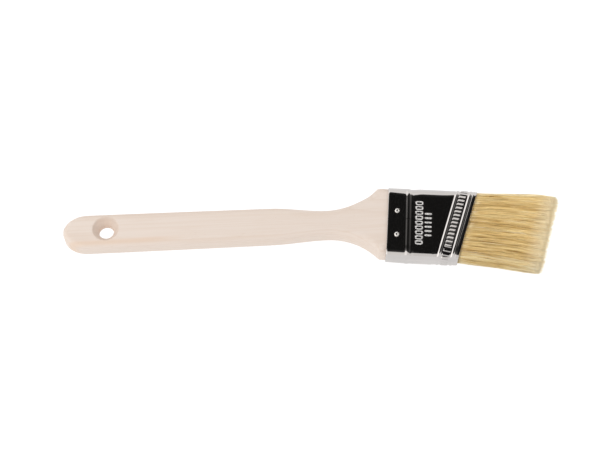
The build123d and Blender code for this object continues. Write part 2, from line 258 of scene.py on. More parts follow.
def steel_material(name, color, roughness):
    """Polished sheet with faint rolling lines and fine scuffs."""
    n = Nodes(name)
    haze = n.noise(n.scaled(70, 55, 70), detail=3)
    scuffs = n.noise(n.scaled(300, 2600, 2600), detail=4, roughness=0.7)
    tint = n.mix(n.fade(haze, 0.35, 0.7), color, tuple(c * 0.93 for c in color[:3]) + (1.0,))
    wear = n.math("MULTIPLY", n.fade(scuffs, 0.55, 0.85), 0.06)
    polish = n.math("ADD", n.math("ADD", wear, roughness), n.math("MULTIPLY", haze, 0.03))
    # Stamped marks are frosted and catch the light from every side; their near-white colour is partly a
    # painted highlight, and on the nail heads it is a painted highlight
    frost_and_highlight = n.add("ShaderNodeAttribute", attribute_name="frost_and_highlight").outputs["Fac"]
    grit = n.fade(n.noise(n.scaled(2600, 2600, 2600), detail=2), 0.36, 0.6)
    grit = n.math("ADD", n.math("MULTIPLY", grit, 0.6), 0.4)
    frost_and_highlight = n.math("MULTIPLY", n.fade(frost_and_highlight, 0.35, 0.9), grit)
    # Painted shade darkens the grooves of the ropework
    groove_shade = n.add("ShaderNodeAttribute", attribute_name="groove_shade").outputs["Fac"]
    tint = n.mix(n.math("MULTIPLY", groove_shade, 0.85), tint, srgb(38, 36, 34))
    n.set(Base_Color=n.mix(frost_and_highlight, tint, srgb(240, 238, 236)))
    n.set(Metallic=n.math("SUBTRACT", 1.0, n.math("MULTIPLY", frost_and_highlight, 0.85)))
    n.set(Roughness=n.math("ADD", polish, n.math("MULTIPLY", frost_and_highlight, 0.5)))
    n.bump(n.noise(n.scaled(90, 70, 90), detail=1), 0.35, 0.0001)
    return n.material


def bristle_material(name, depth_shade=1.0):
    """Natural bristle: every strand has its own tint, and pales towards its tip.

    depth_shade darkens the whole as painted shade, for bristle that lies deep in the bundle.
    """
    n = Nodes(name)
    tint = n.add("ShaderNodeAttribute", attribute_name="tint").outputs["Fac"]
    reach = n.add("ShaderNodeAttribute", attribute_name="reach").outputs["Fac"]
    body = n.ramp(
        tint,
        [
            (0.0, srgb(150, 108, 52)),
            (0.2, srgb(200, 160, 92)),
            (0.45, srgb(238, 208, 142)),
            (0.75, srgb(249, 228, 172)),
            (1.0, srgb(254, 246, 220)),
        ],
    )
    speckle = n.noise(n.scaled(400, 3000, 3000), detail=2)
    body = n.mix(n.math("MULTIPLY", n.fade(speckle, 0.5, 0.8), 0.25), body, srgb(160, 122, 74))
    pale = n.mix(tint, srgb(255, 236, 190), srgb(255, 247, 224))
    color = n.mix(n.math("MULTIPLY", n.fade(reach, 0.72, 1.0), 0.9), body, pale)
    n.set(Base_Color=n.mix(1.0, color, (depth_shade, depth_shade, depth_shade, 1.0), blend="MULTIPLY"))
    n.set(Roughness=n.math("ADD", n.math("MULTIPLY", speckle, 0.2), 0.38), Specular_IOR_Level=0.35)
    n.bump(speckle, 0.15, 0.00005)
    return n.material


def resin_material(name):
    """Set resin, amber and cloudy."""
    n = Nodes(name)
    cloud = n.noise(n.scaled(300, 300, 300), detail=4)
    n.set(Base_Color=n.mix(cloud, srgb(120, 84, 40), srgb(168, 126, 70)))
    n.set(Roughness=n.math("ADD", n.math("MULTIPLY", cloud, 0.2), 0.15))
    n.bump(cloud, 0.3, 0.0002)
    return n.material


pale_wood = wood_material("pale_wood", srgb(231, 217, 206), srgb(225, 207, 192), srgb(213, 189, 169))
plug_wood = wood_material("plug_wood", srgb(214, 188, 152), srgb(196, 166, 128), srgb(160, 128, 92))
steel = steel_material("polished_steel", srgb(196, 192, 190), 0.05)
nail_steel = steel_material("nail_steel", srgb(232, 228, 222), 0.22)
strand_material = bristle_material("bristle")
# The core and roots are darker: painted shade for bristle deep in the bundle
core_material = bristle_material("bristle_core", 0.8)

# ---- Handle -------------------------------------------------------------------------------------
BUTT_X = -21.1
BUTT_CORNER_X = -9.25
# The handle's centre line runs slightly to -Y of the hanging hole
BUTT_CENTRE, BUTT_HALF_WIDTH = -0.5, 9.15
SHAFT_END_X, SHAFT_CENTRE, SHAFT_HALF_WIDTH = 82.0, -0.2, 8.53
# For each side (1 is +Y): the neck's place and half width, then the flare's radius and turn
NECKS = {1: (109.2, 5.95, 35.9, radians(47.8)), -1: (109.6, 7.15, 32.0, radians(49.55))}
CHEEKS = {1: head_to_row(0.0, 19.1, 0.0), -1: head_to_row(0.0, -18.9, 0.0)}
# The edges are rounded off more at the shoulders, and most where they enter the ferrule
EDGE_ROUNDING = 2.9
SHOULDER_ROUNDING = {1: 4.9, -1: 2.9}
CHEEK_ROUNDING = 5.5
# Inside the ferrule the cheeks run along the head's axis
CHEEK_SLOPE = -0.0986
# The hanging hole's throat, and where and how fast it flares
THROAT_RADIUS = 3.7
FLARE_RADIUS, FLARE_Z, FLARE_SLOPE = 3.95, 1.85, 0.724


def shoulder(side):
    """Where the flare ends in a crisp corner, as x and half width."""
    x, width, radius, turn = NECKS[side]
    return x + radius * sin(turn), width + radius * (1 - cos(turn))


def half_width(x, side):
    """The handle's half width at x, on the +Y side (1) or the -Y side (-1)."""
    x = np.asarray(x, float)
    neck_x, neck_width, flare_radius, flare_turn = NECKS[side]
    shoulder_x, shoulder_width = shoulder(side)
    share = (x - BUTT_CORNER_X) / (BUTT_CORNER_X - BUTT_X)
    butt = side * BUTT_CENTRE + BUTT_HALF_WIDTH * np.sqrt(np.clip(1 - share**2, 0, None))
    start = side * BUTT_CENTRE + BUTT_HALF_WIDTH
    finish = side * SHAFT_CENTRE + SHAFT_HALF_WIDTH
    slope = (finish - start) / (SHAFT_END_X - BUTT_CORNER_X)
    shaft = start + slope * (x - BUTT_CORNER_X)
    run = neck_x - SHAFT_END_X
    t = np.clip((x - SHAFT_END_X) / run, 0, 1)
    drop = finish - neck_width
    draw = finish - drop * t * t * (3 - 2 * t) + slope * run * t * (1 - t) ** 2
    bend = np.clip(x - neck_x, 0, flare_radius * sin(flare_turn))
    flare = neck_width + flare_radius - np.sqrt(flare_radius**2 - bend**2)
    end = CHEEKS[side]
    fall = (abs(end[1]) - shoulder_width) / (end[0] - shoulder_x)
    inside = CHEEK_SLOPE * side
    cheek = np.where(
        x < end[0],
        shoulder_width + fall * (x - shoulder_x),
        abs(end[1]) + inside * (x - end[0]),
    )
    width = np.where(x < BUTT_CORNER_X, butt, shaft)
    width = np.where(x > SHAFT_END_X, draw, width)
    width = np.where(x > neck_x, flare, width)
    return np.where(x > shoulder_x, cheek, width)


def edge_rounding(x, side, from_ferrule):
    """The rounding's radius; from_ferrule is the distance behind the ferrule's rear edge."""
    upper, lower = SHOULDER_ROUNDING[1], SHOULDER_ROUNDING[-1]
    grown = np.where(np.asarray(side) > 0, upper, lower)
    grown = EDGE_ROUNDING + (grown - EDGE_ROUNDING) * smooth(124.0, 134.0, x)
    return grown + (CHEEK_ROUNDING - grown) * smooth(3.2, 0.3, from_ferrule)


def half_thickness(x):
    """The handle's half thickness at x, thinnest at the butt and thickest inside the ferrule."""
    knots = [BUTT_X, -5.0, 10.0, 40.0, 75.0, 96.0, 108.0, 122.0, 134.0, 146.0]
    heights = [5.2, 5.28, 5.38, 5.55, 5.62, 5.56, 5.5, 5.72, 6.1, 6.4]
    fine = np.linspace(knots[0], knots[-1], 400)
    line = np.interp(fine, knots, heights)
    kernel = np.hanning(25)
    padded = np.pad(line, 12, mode="edge")
    return np.interp(x, fine, np.convolve(padded, kernel / kernel.sum(), mode="valid"))


def build_handle():
    """The handle as rings of points from butt to tang, with the hanging hole cut through."""
    butt_length = BUTT_CORNER_X - BUTT_X
    butt = BUTT_X + butt_length * (1 - np.cos(np.linspace(0.08, pi / 2, 26)))
    shaft = np.arange(butt[-1] + 1.0, 84.0, 1.1)
    cant = tan(CANT)
    corners = [shoulder(side)[0] - side * shoulder(side)[1] * cant for side in (1, -1)]
    edge = REAR[0] - REAR[1] * cant
    cheeks = edge - np.array([4.2, 3.2, 2.4, 1.6, 0.8, 0.0])
    neck = np.concatenate([np.arange(84.6, 132.8, 0.6), corners, cheeks])
    stations = np.unique(np.concatenate([butt, shaft, neck, [edge + 1.5, edge + 3.0]]))
    turn = np.linspace(0, pi / 2, 9)
    xs, ys = [], []
    for station in stations:
        lean = cant * float(smooth(112.0, 131.0, station))
        row_x, row_y = [], []
        for side in (-1, 1):
            reach = float(half_width(station, side))
            limit = float(edge_rounding(station, side, edge - station))
            round_off = min(limit, 0.75 * reach)
            inward = reach - round_off * (1 - np.cos(turn))
            middle = np.linspace(inward[-1], 0, 9)[1:]
            share = np.concatenate([inward, middle]) / reach
            x = np.full(share.shape, station)
            for _ in range(12):
                y = side * share * half_width(x, side)
                x = station + y * lean
            if side < 0:
                row_x.append(x)
                row_y.append(y)
            else:
                row_x.append(x[::-1][1:])
                row_y.append(y[::-1][1:])
        xs.append(np.concatenate(row_x))
        ys.append(np.concatenate(row_y))
    xs, ys = np.array(xs), np.array(ys)

    # Depth from the outline sets how far the edge rounding has dropped
    sweep = np.linspace(0, pi, 160)
    end_x = BUTT_X + butt_length * (1 - np.sin(sweep))
    end_y = BUTT_CENTRE - BUTT_HALF_WIDTH * np.cos(sweep)
    outline = [np.stack([end_x, end_y], 1)]
    line = np.arange(BUTT_CORNER_X, 150.0, 0.2)
    for side in (-1, 1):
        outline.append(np.stack([line, side * half_width(line, side)], 1))
    outline = np.concatenate(outline)
    depth = np.empty(xs.shape)
    for i in range(xs.shape[0]):
        gap = np.hypot(xs[i][:, None] - outline[:, 0], ys[i][:, None] - outline[:, 1])
        depth[i] = gap.min(axis=1)
    depth[:, 0] = 0
    depth[:, -1] = 0
    rounding = edge_rounding(xs, np.sign(ys), edge - stations[:, None])
    into = np.clip(rounding - depth, 0, rounding)
    top = half_thickness(xs) - rounding + np.sqrt(rounding**2 - into**2)

    rings = []
    for i in range(xs.shape[0]):
        up = np.stack([xs[i], ys[i], top[i]], 1)
        down = up[::-1] * [1, 1, -1]
        walls = []
        for end, sign in ((up[-1], 1), (up[0], -1)):
            levels = sign * np.linspace(end[2], -end[2], 5)[1:-1]
            walls.append(np.stack([np.full(3, end[0]), np.full(3, end[1]), levels], 1))
        rings.append(np.concatenate([up, walls[0], down, walls[1]]))
    columns = len(rings[0])
    points = np.concatenate(rings)
    faces = grid_faces(len(rings), columns, close_columns=True)
    faces.append(tuple(range(columns)))
    faces.append(tuple(range(len(points) - 1, len(points) - columns - 1, -1)))
    handle = make_object("handle_wood", points, faces, pale_wood)

    # Hanging hole: a throat that flares to a slightly eased rim on both faces
    profile = [(THROAT_RADIUS, 0.0), (THROAT_RADIUS, 1.3), (3.76, 1.55), (FLARE_RADIUS, FLARE_Z)]
    profile += [(FLARE_RADIUS + (z - FLARE_Z) * FLARE_SLOPE, z) for z in (2.6, 3.6, 4.4, 4.9)]
    profile += [(6.32, 5.06), (6.5, 5.2), (6.78, 5.32), (7.5, 5.48), (7.5, 9.0)]
    profile = [(r, -z) for r, z in profile[:0:-1]] + profile
    sides = 128
    around = np.linspace(0, 2 * pi, sides, endpoint=False)
    round_x, round_y = np.cos(around), np.sin(around)
    rows = [np.stack([r * round_x, r * round_y, np.full(sides, z)], 1) for r, z in profile]
    cut_faces = grid_faces(len(rows), sides, close_columns=True)
    cut_faces.append(tuple(range(sides - 1, -1, -1)))
    cut_faces.append(tuple(range(sides * (len(rows) - 1), sides * len(rows))))
    cutter = make_object("hole_cutter", np.concatenate(rows), cut_faces, pale_wood)
    cut = handle.modifiers.new("hanging_hole", "BOOLEAN")
    cut.operation = "DIFFERENCE"
    cut.solver = "EXACT"
    cut.object = cutter
    ready = handle.evaluated_get(bpy.context.evaluated_depsgraph_get())
    mesh = bpy.data.meshes.new_from_object(ready)
    handle.modifiers.clear()
    handle.data = mesh
    bpy.data.objects.remove(cutter)
    mesh.set_sharp_from_angle(angle=radians(34))
    return handle


handle = build_handle()
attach(handle, "brush")
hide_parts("handle")

# ---- Ferrule ------------------------------------------------------------------------------------
HALF_W, HALF_T, CORNER = 19.6, 7.0, 6.0
# Between its two ends the far corners are rounder and the near ones crisper
FAR_CORNER_V, FAR_CORNER_Z, FAR_SWELL = 7.1, 6.5, 0.2
NEAR_CORNER = 5.4
SHEET = 0.45
CROWN = 0.34
LEAN = tan(SLANT)
REAR_BEAD_U = 9.9
# The far side is drawn in here
DRAWN_IN_U = 12.2
ROPE_U = 33.2
ROPE_BEAD_OFFSET = 3.3
# How far round the tube a pill runs for each mm along it
ROPE_LAY = 0.15
PILL_PITCH, PILL_HALF_LENGTH = 2.1, 1.85
RIM_LINE_U = 38.1
# The stamped marks: place along, how many, spacing across and the row's centre
RING_U, RING_COUNT, RING_PITCH, RING_SHIFT = 15.3, 9, 2.7, -1.95
BAR_U, BAR_COUNT, BAR_PITCH, BAR_SHIFT = 19.8, 6, 2.35, -2.85
# The nails on each face: place along and places across
NAIL_U = 4.45
NAIL_ROW = (-8.8, 4.3)


def rounded_outline(count, half_w, half_t, corner, corner_v, corner_z):
    """Points round a rounded rectangle as (v, z), their arc lengths and the whole length.

    The corners are quarter ellipses. The spacing is even for round corners of radius corner,
    whatever the ellipse, so outlines of different corners match point for point.
    """
    flat_w, flat_t = 2 * (half_w - corner), 2 * (half_t - corner)
    quarter = corner * pi / 2
    spans = [flat_w / 2, quarter, flat_t, quarter, flat_w, quarter, flat_t, quarter, flat_w / 2]
    ends = np.cumsum(spans)
    at = np.arange(count) * ends[-1] / count
    low_v, low_z = half_w - corner_v, half_t - corner_z
    path = [(0, half_t), (low_v, half_t), (half_w, low_z), (half_w, -low_z), (low_v, -half_t)]
    path += [(-low_v, -half_t), (-half_w, -low_z), (-half_w, low_z), (-low_v, half_t), (0, half_t)]
    points = []
    for s in at:
        k = int(np.searchsorted(ends, s, side="right"))
        share = (s - ends[k] + spans[k]) / spans[k]
        a, b = np.array(path[k]), np.array(path[k + 1])
        if k % 2 == 0:
            points.append(a + (b - a) * share)
            continue
        turn = share * pi / 2
        centre = np.array([np.sign(a[0] + b[0]) * low_v, np.sign(a[1] + b[1]) * low_z])
        points.append(centre + (a - centre) * cos(turn) + (b - centre) * sin(turn))
    return np.array(points), at, ends[-1]


def section(count, corner_v, corner_z, swell=0.0):
    """The ferrule's section with its broad faces slightly crowned: points, normals, arc lengths."""
    outline = rounded_outline(count, HALF_W + swell, HALF_T + swell, CORNER, corner_v, corner_z)
    points, at, total = outline
    along = np.clip(np.abs(points[:, 0]) / (HALF_W - 0.5), 0, 1)
    crown = np.sign(points[:, 1]) * CROWN * (1 - along**2)
    points[:, 1] += crown * smooth(0, 3.0, np.abs(points[:, 1]))
    tangent = np.roll(points, -1, 0) - np.roll(points, 1, 0)
    normals = np.stack([-tangent[:, 1], tangent[:, 0]], 1)
    normals /= np.linalg.norm(normals, axis=1)[:, None]
    return points, normals, at, total


def hump(x, half):
    """A round-topped ridge with eased feet, 1 at x = 0 and 0 beyond half."""
    t = np.clip(np.abs(x) / half, 0, 1)
    return np.cos(t * pi / 2) ** 1.6


def stadium(x, y, half_length, radius):
    """Distance from the outline of a slot that lies along x; negative inside."""
    return np.hypot(np.maximum(np.abs(x) - (half_length - radius), 0), y) - radius


def ferrule_relief(a, v, arc, total, front):
    """Height above the plain sheet, how much of it is frosted by stamping and whitened as a painted
    highlight, and the painted shade in its grooves.

    a is the row's place on the axis and front marks the +Z face.
    """
    h = 0.4 * hump(a - REAR_BEAD_U, 1.5) - 0.1 * hump(a - 11.7, 1.0)
    for bead in (-ROPE_BEAD_OFFSET, ROPE_BEAD_OFFSET):
        h = h + 0.56 * hump(a - ROPE_U - bead, 1.0)
    h = h + 0.19 * hump(a - RIM_LINE_U, 0.48)
    # The ridges sink into the sheet where it bends over the narrow sides
    h = h * (1 - 0.65 * smooth(16.8, 19.2, np.abs(v)))
    # The far side is drawn in just ahead of the rear bead
    h = h - 0.28 * smooth(9.0, 17.0, v) * np.exp(-(((a - DRAWN_IN_U) / 2.4) ** 2))
    # Ropework: pills packed side by side round the tube, each steeper on one flank. They stand
    # out most towards the near edge of the faces and least on the narrow sides
    count = round(total / PILL_PITCH)
    pitch = total / count
    turn = np.mod(arc + (a - ROPE_U) * ROPE_LAY, pitch) / pitch
    length = (a - ROPE_U) / PILL_HALF_LENGTH
    strand = np.minimum(turn / 0.22, (1 - turn) / 0.78)
    near = smooth(-6.0, -15.0, v)
    depth = 0.3 + 0.4 * near + 0.7 * smooth(17.2, 13.2, np.abs(v) - 1.6 * near)
    inside = np.clip(1 - length**6, 0, 1) ** 0.5
    h = h + depth * (0.52 * strand - 0.08) * inside
    # Painted shade in the ropework's grooves, weaker towards the near edge
    groove_shade = smooth(0.24, 0.1, np.minimum(turn, (1 - turn) * 1.6)) * inside
    groove_shade = groove_shade * (1 - 0.6 * smooth(-12.5, -15.0, v))
    # Rings and bars stamped up on the front face, with a frosted top whitened partly as a painted
    # highlight
    marks = np.zeros_like(h)
    for i in range(RING_COUNT):
        row = (i - (RING_COUNT - 1) / 2) * RING_PITCH + RING_SHIFT
        line = np.abs(stadium(a - RING_U, v - row, 1.62, 0.82))
        marks = np.maximum(marks, smooth(0.46, 0.18, line))
    for i in range(BAR_COUNT):
        row = (i - (BAR_COUNT - 1) / 2) * BAR_PITCH + BAR_SHIFT
        line = stadium(a - BAR_U, v - row, 1.75, 0.55)
        marks = np.maximum(marks, smooth(0.1, -0.25, line))
    marks = np.where(front, marks, 0)
    h = h + 0.3 * marks
    # Dents drawn in by the nails
    for row in NAIL_ROW:
        away = np.hypot(a - NAIL_U, v - row)
        h = h - 0.12 * np.exp(-((away / 1.9) ** 2))
    return h, marks, groove_shade


def build_ferrule():
    """The ferrule as one closed sheet: out along its outer face and back along its inner face."""
    count = 560
    tight, tight_out, arc, total = section(count, CORNER, CORNER)
    full, full_out, _, _ = section(count, FAR_CORNER_V, FAR_CORNER_Z, FAR_SWELL)
    near, near_out, _, _ = section(count, NEAR_CORNER, NEAR_CORNER)
    near_side = (tight[:, 0] < 0)[:, None]
    full, full_out = np.where(near_side, near, full), np.where(near_side, near_out, full_out)
    # The outer face's rows, from and to a place on the axis and how many, closest at the relief
    stops = [
        (0.0, 8.4, 10),
        (8.4, 11.6, 22),
        (11.6, 13.6, 5),
        (13.6, 22.6, 44),
        (22.6, 28.8, 11),
        (28.8, 37.5, 54),
        (37.5, 39.35, 9),
    ]
    rows = [np.linspace(a, b, n, endpoint=False) for a, b, n in stops]
    rows = np.concatenate(rows + [[stops[-1][1]]])
    front = tight[:, 1] > 0
    rings, frost_and_highlight, groove_shade = [], [], []

    def place(a):
        """The section's points and outward normals at place a on the axis."""
        soft = float(smooth(0.5, 9.0, a) * smooth(30.0, 24.0, a))
        return tight + (full - tight) * soft, tight_out + (full_out - tight_out) * soft

    def ring(a, out):
        """One ring of the sheet at place a on the axis, out from the plain outer face."""
        start = float(smooth(7.0, 1.0, a))
        lean = LEAN * float(smooth(20.5, 28.0, a)) + 0.01 * start
        points, normals = place(a)
        v = points[:, 0] + normals[:, 0] * out
        z = points[:, 1] + normals[:, 1] * out
        return head_to_row(a - 0.36 * start + v * lean, v, z)

    rings.append(ring(0.0, -SHEET))
    rings.append(ring(0.0, -0.12))
    for a in rows:
        h, marks, ring_shade = ferrule_relief(np.full(count, a), place(a)[0][:, 0], arc, total, front)
        frost_and_highlight.append(marks)
        groove_shade.append(ring_shade)
        rings.append(ring(max(a, 0.1), h))
    # Round the mouth's edge, then back along the inner face
    mouth = [(39.58, -0.06), (39.68, -0.2), (39.6, -0.36), (39.4, -SHEET)]
    for a, out in mouth + [(a, -SHEET) for a in (36.0, 30.0, 20.0, 10.0)]:
        rings.append(ring(a, out))
    faces = grid_faces(len(rings), count, close_rows=True, close_columns=True)
    shell = make_object("ferrule_shell", np.concatenate(rings), faces, steel)
    # The plain rings before and after the outer face's rows carry neither
    blank = np.zeros(count)
    after = [blank] * (len(rings) - len(rows) - 2)
    for label, values in (("frost_and_highlight", frost_and_highlight), ("groove_shade", groove_shade)):
        set_layer(shell, label, np.concatenate([blank, blank] + values + after))
    return shell


ferrule = build_ferrule()
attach(ferrule, "brush")
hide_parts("ferrule")

# ---- Nails --------------------------------------------------------------------------------------
def build_nails():
    """Four nails: a shallow domed head with a struck centre, on a pointed shank."""
    # Radius and height above the sheet, from the head's centre out and down to the point
    profile = [
        (0.0, 0.2), (0.25, 0.21), (0.45, 0.3), (0.62, 0.5), (0.8, 0.62), (0.98, 0.6), (1.14, 0.48),
        (1.26, 0.28), (1.3, 0.05), (1.2, -0.06), (0.7, -0.08), (0.68, -4.2), (0.35, -5.0), (0.0, -5.3),
    ]
    sides = 48
    seat = HALF_T + CROWN * 0.9
    around = np.linspace(0, 2 * pi, sides, endpoint=False)
    points, faces, frost_and_highlight = [], [], []
    for face in (1, -1):
        for v in NAIL_ROW:
            base = len(points)
            for r, h in profile[1:-1]:
                for angle in around:
                    # A frosted ring round each head, left open on one side, is a painted c-shaped
                    # highlight
                    highlight_gap = cos(angle - 0.5) > 0.8
                    frost_and_highlight.append(1.0 if 0.6 < r < 1.0 and not highlight_gap else 0.0)
                    z = face * (seat + h - 0.12)
                    points.append(head_to_row(NAIL_U + r * cos(angle), v + r * sin(angle), z))
            tops = len(points)
            z = face * (seat - 0.12)
            points.append(head_to_row(NAIL_U, v, z + face * profile[0][1]))
            points.append(head_to_row(NAIL_U, v, z + face * profile[-1][1]))
            frost_and_highlight += [0.0, 0.0]
            rows = len(profile) - 2
            for quad in grid_faces(rows, sides, close_columns=True):
                quad = tuple(base + k for k in quad)
                faces.append(quad[::-1] if face > 0 else quad)
            last = base + sides * (rows - 1)
            for k in range(sides):
                a, b = base + k, base + (k + 1) % sides
                faces.append((tops, a, b) if face > 0 else (tops, b, a))
                a, b = last + k, last + (k + 1) % sides
                faces.append((tops + 1, b, a) if face > 0 else (tops + 1, a, b))
    heads = make_object("ferrule_nails", points, faces, nail_steel)
    set_layer(heads, "frost_and_highlight", frost_and_highlight)
    return heads


nails = build_nails()
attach(nails, "brush")
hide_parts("nails")

# ---- Bristles -----------------------------------------------------------------------------------
# Half width, half thickness and offset across, at the ferrule's mouth and at the tips
MOUTH_W, MOUTH_T, MOUTH_SHIFT = 18.7, 6.3, 0.4
TIP_W, TIP_T, TIP_SHIFT = 21.4, 3.7, -0.8
# Where the line of the tips crosses the head's axis, and its slope
TIP_U, TIP_LEAN = 82.0, 0.226
FREE_LENGTH = 41.0
BUNDLE_CORNER = 5.5
# How finely the bundle's outline is divided to place the strands
OUTLINE_POINTS = 4000


def mouth_u(v):
    """Where the slanted mouth lies at v across."""
    return FERRULE_LENGTH + v * LEAN


def tuft_path(a, b, t):
    """A place in the tuft: a across and b through it, each -1 to 1, and t from mouth to tips."""
    v0, z0 = MOUTH_SHIFT + a * MOUTH_W, b * MOUTH_T
    v1 = TIP_SHIFT + a * TIP_W
    z1 = b * TIP_T
    u0 = mouth_u(v0)
    far, near = np.clip(a, 0, 1), np.clip(-a, 0, 1)
    u1 = TIP_U + v1 * TIP_LEAN - 0.2 * b**2 - 1.6 * far**12 - 0.5 * near**12
    u = u0 + (u1 - u0) * t
    v = v0 + (v1 - v0) * (0.75 * t + 0.25 * t * t)
    # The far edge turns in towards its tip and the near edge spreads a little
    v = v - 1.8 * smooth(0.66, 1.05, t) * far**5
    v = v - 0.5 * smooth(0.3, 0.9, t) * near**3
    z = z0 * (1 + 0.05 * np.sin(pi * np.clip(t, 0, 1) ** 0.8)) + (z1 - z0) * np.clip(t, 0, 1) ** 1.9
    return u, v, z


def outline_share(count):
    """Evenly spaced points round the bundle where it leaves the ferrule, as shares (a, b)."""
    corner = BUNDLE_CORNER
    points, _, _ = rounded_outline(count, MOUTH_W, MOUTH_T, corner, corner, corner)
    return points[:, 0] / MOUTH_W, points[:, 1] / MOUTH_T


class Locks:
    """Smooth random values over the tuft's surface: about `width` mm across and `length` along."""

    def __init__(self, rng, width, length):
        self.width, self.length = width, length
        self.grid = rng.uniform(-1, 1, (int(70 / width) + 4, int(60 / length) + 4, 9))

    def at(self, v, w, z):
        """The value at v across, w mm from the mouth and z through the tuft."""
        i = np.clip((v + 30) / self.width, 0, self.grid.shape[0] - 2)
        j = np.clip((w + 6) / self.length, 0, self.grid.shape[1] - 2)
        k = np.clip(z / 2.5 + 4, 0, 8).astype(int)
        i0, j0 = i.astype(int), j.astype(int)
        fi, fj = smooth(0, 1, i - i0), smooth(0, 1, j - j0)
        near = self.grid[i0, j0, k] * (1 - fi) + self.grid[i0 + 1, j0, k] * fi
        far = self.grid[i0, j0 + 1, k] * (1 - fi) + self.grid[i0 + 1, j0 + 1, k] * fi
        return near * (1 - fj) + far * fj


lock_rng = np.random.default_rng(5)
GROOVES = Locks(lock_rng, 0.48, 7.0)
WAVES = Locks(lock_rng, 2.4, 14.0)
TONES = Locks(lock_rng, 0.4, 8.0)


def build_strands(name, count, seed, depths, radius, stray, tip):
    """Separate bristles between two depths below the tuft's surface.

    stray is the share of them that stand away from the bundle, and tip is how thick they are at
    their ends, as a share of their root.
    """
    rng = np.random.default_rng(seed)
    sides = 3
    around = rng.integers(0, OUTLINE_POINTS, count)
    a, b = (share[around] for share in outline_share(OUTLINE_POINTS))
    depth = depths[0] + (depths[1] - depths[0]) * rng.uniform(0, 1, count) ** 1.1
    a = a * (1 - depth / MOUTH_W)
    b = b * (1 - depth / MOUTH_T)

    base = 0.46 + rng.normal(0, 0.1, count)
    base = np.where(rng.uniform(0, 1, count) < 0.12, base + 0.25, base)
    # Some strands show dark for part of their length
    dark = np.where(rng.uniform(0, 1, count) < 0.22, 0.45, 0.0)
    dark_place = rng.uniform(0, 1, count)
    dark_spread = rng.uniform(0.06, 0.2, count)
    wild = rng.uniform(0, 1, count) < stray
    lean_v = rng.normal(0, 0.45, count) * np.where(wild, 2.2, 1.0)
    lean_z = rng.normal(0, 0.14, count) * np.where(wild, 3.0, 1.0)
    # Only a few strands reach the very end, so the tip fades out
    longest = rng.uniform(0, 1, count) < 0.12
    short = np.where(longest, rng.uniform(0, 1.3, count), 1.2 + np.abs(rng.normal(0, 0.7, count)))
    curl = rng.normal(0, 0.16, count)
    ripple = rng.normal(0, 0.07, count)
    phase = rng.uniform(0, 2 * pi, count)
    girth = radius * rng.uniform(0.75, 1.25, count)

    steps = np.array([-0.07, 0.04, 0.18, 0.34, 0.5, 0.66, 0.82, 0.93, 1.0])
    thick = np.array([1.0, 1.0, 1.0, 1.0, 0.98, 0.95, 0.9, 0.5 + 0.6 * tip, tip])
    roll = rng.uniform(0, 2 * pi, count)
    points = np.empty((count, len(steps), sides, 3))
    tint = np.empty((count, len(steps), sides))
    for i, t in enumerate(steps):
        u, v, z = tuft_path(a, b, t * (1 - short / FREE_LENGTH))
        along = max(t, 0.0)
        along_mm = FREE_LENGTH * t
        groove = smooth(0.15, 0.75, GROOVES.at(v, along_mm, z)) * float(smooth(0.02, 0.2, t))
        ease = float(smooth(0.0, 0.3, t))
        v = v + lean_v * along**1.4 + curl * sin(pi * along)
        v = v + ripple * np.sin(phase + 9 * along) * ease
        v = v + 0.22 * WAVES.at(v, along_mm, z) * ease
        z = z + lean_z * along**1.5 - np.sign(b) * 0.3 * groove * np.abs(b)
        edge = np.clip(np.abs(a) * 3 - 2.0, 0, 1) * np.where(a > 0, 1.6, 1.0)
        patch = dark * np.exp(-(((t - dark_place) / dark_spread) ** 2))
        # Painted shade darkens the strands in the grooves between locks, and a painted shadow darkens
        # them just outside the ferrule's mouth
        tone = base - patch - 0.35 * groove - 0.1 * float(smooth(0.14, 0.0, t))
        tone = tone + 0.2 * TONES.at(v, along_mm, z) + 0.16 * edge
        r = girth * thick[i]
        for k in range(sides):
            turn = roll + k * 2 * pi / sides
            points[:, i, k] = head_to_row(u, v + r * np.cos(turn), z + r * np.sin(turn))
            tint[:, i, k] = np.clip(tone, 0.02, 0.98)
    per = len(steps) * sides
    one = grid_faces(len(steps), sides, close_columns=True)
    one.append(tuple(range(sides - 1, -1, -1)))
    one.append(tuple(range(per - sides, per)))
    faces = [tuple(base + k for k in face) for base in range(0, count * per, per) for face in one]
    piece = make_object(name, points.reshape(-1, 3), faces, strand_material)
    # Strands on the narrow sides and a few beside the ferrule are as pale as the tips
    fringe = np.where(a > 0, 1.02, 0.82) * np.clip(np.abs(a) * 5 - 3.4, 0, 1)
    fringe = fringe * rng.uniform(0.78, 1.06, count)
    paler = (rng.uniform(0, 1, count) < 0.3)[:, None] * smooth(0.3, 0.04, steps)[None, :]
    reach = np.maximum(np.maximum(np.clip(steps, 0, 1), fringe[:, None]), 0.93 * paler)
    reach = np.repeat(reach, sides, axis=1)
    set_layer(piece, "tint", tint.reshape(-1))
    set_layer(piece, "reach", reach.reshape(-1))
    return piece


